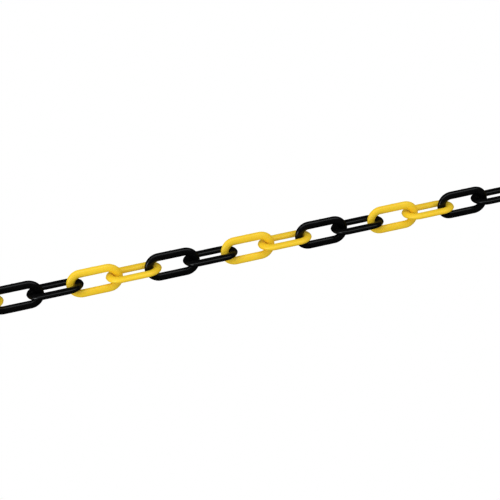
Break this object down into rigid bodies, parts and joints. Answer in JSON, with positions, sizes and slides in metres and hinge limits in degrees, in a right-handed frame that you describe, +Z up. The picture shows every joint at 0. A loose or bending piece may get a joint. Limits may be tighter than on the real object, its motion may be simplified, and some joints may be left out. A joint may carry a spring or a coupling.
{
  "type": "plastic barrier chain",
  "caption": "Straight length of plastic barrier chain: oval loop links, each a quarter turn from the next, black and yellow by turns, for closing off an area.",
  "frame": {"origin": "on the ground, under the middle of the laid-out chain", "axes": "+X along the chain towards its yellow end, +Z up from the ground"},
  "size_m": [0.7788, 0.0218, 0.0218],
  "materials": {
    "black_plastic": "satin",
    "yellow_plastic": "satin"
  },
  "bodies": {
    "link_01": {"link_01_black": "black_plastic"},
    "link_02": {"link_02_black": "black_plastic"},
    "link_03": {"link_03_yellow": "yellow_plastic"},
    "link_04": {"link_04_yellow": "yellow_plastic"},
    "link_05": {"link_05_black": "black_plastic"},
    "link_06": {"link_06_black": "black_plastic"},
    "link_07": {"link_07_yellow": "yellow_plastic"},
    "link_08": {"link_08_yellow": "yellow_plastic"},
    "link_09": {"link_09_black": "black_plastic"},
    "link_10": {"link_10_black": "black_plastic"},
    "link_11": {"link_11_yellow": "yellow_plastic"},
    "link_12": {"link_12_yellow": "yellow_plastic"},
    "link_13": {"link_13_black": "black_plastic"},
    "link_14": {"link_14_black": "black_plastic"},
    "link_15": {"link_15_yellow": "yellow_plastic"},
    "link_16": {"link_16_yellow": "yellow_plastic"},
    "link_17": {"link_17_black": "black_plastic"},
    "link_18": {"link_18_black": "black_plastic"},
    "link_19": {"link_19_yellow": "yellow_plastic"},
    "link_20": {"link_20_yellow": "yellow_plastic"}
  },
  "joints": [
    {"name": "link_12_swing", "type": "hinge", "parent": "link_11", "child": "link_12", "pos_m": [0.04217, 0, 0.01089], "axis": [0, 0.7071, 0.7071], "range_deg": [-120, 120]},
    {"name": "link_13_swing", "type": "hinge", "parent": "link_12", "child": "link_13", "pos_m": [0.08032, 0, 0.01089], "axis": [0, -0.7071, 0.7071], "range_deg": [-120, 120]},
    {"name": "link_14_swing", "type": "hinge", "parent": "link_13", "child": "link_14", "pos_m": [0.11847, 0, 0.01089], "axis": [0, -0.7071, -0.7071], "range_deg": [-120, 120]},
    {"name": "link_15_swing", "type": "hinge", "parent": "link_14", "child": "link_15", "pos_m": [0.15663, 0, 0.01089], "axis": [0, 0.7071, -0.7071], "range_deg": [-120, 120]},
    {"name": "link_16_swing", "type": "hinge", "parent": "link_15", "child": "link_16", "pos_m": [0.19478, 0, 0.01089], "axis": [0, 0.7071, 0.7071], "range_deg": [-120, 120]},
    {"name": "link_17_swing", "type": "hinge", "parent": "link_16", "child": "link_17", "pos_m": [0.23294, 0, 0.01089], "axis": [0, -0.7071, 0.7071], "range_deg": [-120, 120]},
    {"name": "link_18_swing", "type": "hinge", "parent": "link_17", "child": "link_18", "pos_m": [0.27109, 0, 0.01089], "axis": [0, -0.7071, -0.7071], "range_deg": [-120, 120]},
    {"name": "link_19_swing", "type": "hinge", "parent": "link_18", "child": "link_19", "pos_m": [0.30924, 0, 0.01089], "axis": [0, 0.7071, -0.7071], "range_deg": [-120, 120]},
    {"name": "link_20_swing", "type": "hinge", "parent": "link_19", "child": "link_20", "pos_m": [0.3474, 0, 0.01089], "axis": [0, 0.7071, 0.7071], "range_deg": [-120, 120]},
    {"name": "link_10_swing", "type": "hinge", "parent": "link_11", "child": "link_10", "pos_m": [-0.00401, 0, 0.01089], "axis": [0, 0.7071, 0.7071], "range_deg": [-120, 120]},
    {"name": "link_09_swing", "type": "hinge", "parent": "link_10", "child": "link_09", "pos_m": [-0.04217, 0, 0.01089], "axis": [0, -0.7071, 0.7071], "range_deg": [-120, 120]},
    {"name": "link_08_swing", "type": "hinge", "parent": "link_09", "child": "link_08", "pos_m": [-0.08032, 0, 0.01089], "axis": [0, -0.7071, -0.7071], "range_deg": [-120, 120]},
    {"name": "link_07_swing", "type": "hinge", "parent": "link_08", "child": "link_07", "pos_m": [-0.11847, 0, 0.01089], "axis": [0, 0.7071, -0.7071], "range_deg": [-120, 120]},
    {"name": "link_06_swing", "type": "hinge", "parent": "link_07", "child": "link_06", "pos_m": [-0.15663, 0, 0.01089], "axis": [0, 0.7071, 0.7071], "range_deg": [-120, 120]},
    {"name": "link_05_swing", "type": "hinge", "parent": "link_06", "child": "link_05", "pos_m": [-0.19478, 0, 0.01089], "axis": [0, -0.7071, 0.7071], "range_deg": [-120, 120]},
    {"name": "link_04_swing", "type": "hinge", "parent": "link_05", "child": "link_04", "pos_m": [-0.23294, 0, 0.01089], "axis": [0, -0.7071, -0.7071], "range_deg": [-120, 120]},
    {"name": "link_03_swing", "type": "hinge", "parent": "link_04", "child": "link_03", "pos_m": [-0.27109, 0, 0.01089], "axis": [0, 0.7071, -0.7071], "range_deg": [-120, 120]},
    {"name": "link_02_swing", "type": "hinge", "parent": "link_03", "child": "link_02", "pos_m": [-0.30924, 0, 0.01089], "axis": [0, 0.7071, 0.7071], "range_deg": [-120, 120]},
    {"name": "link_01_swing", "type": "hinge", "parent": "link_02", "child": "link_01", "pos_m": [-0.3474, 0, 0.01089], "axis": [0, -0.7071, 0.7071], "range_deg": [-120, 120]}
  ]
}
